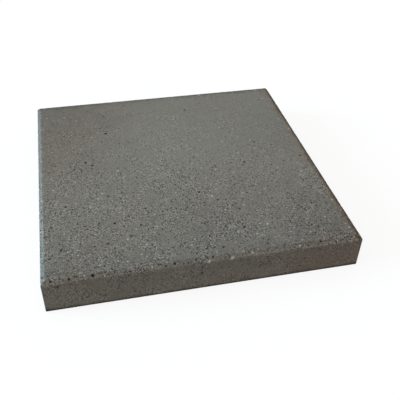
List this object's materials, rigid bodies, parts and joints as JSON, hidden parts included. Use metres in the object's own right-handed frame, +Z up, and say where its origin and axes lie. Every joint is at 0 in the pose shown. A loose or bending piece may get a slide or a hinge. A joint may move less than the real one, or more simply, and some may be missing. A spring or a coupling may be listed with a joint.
{
  "type": "pillar cap",
  "caption": "Flat square concrete cap with a chamfered arris round its top face, bedded on the head of a masonry pillar to shed rain.",
  "frame": {"origin": "centre of the bedding face, the underside that rests on the pillar", "axes": "+Z up out of the top face; X and Y along the sides of the square plan"},
  "size_m": [0.4, 0.4, 0.05],
  "materials": {
    "grey_concrete": "matt dense grey concrete with fine open pores and pale sand grains"
  },
  "bodies": {
    "root": {"pillar_cap": "grey_concrete"}
  },
  "joints": []
}
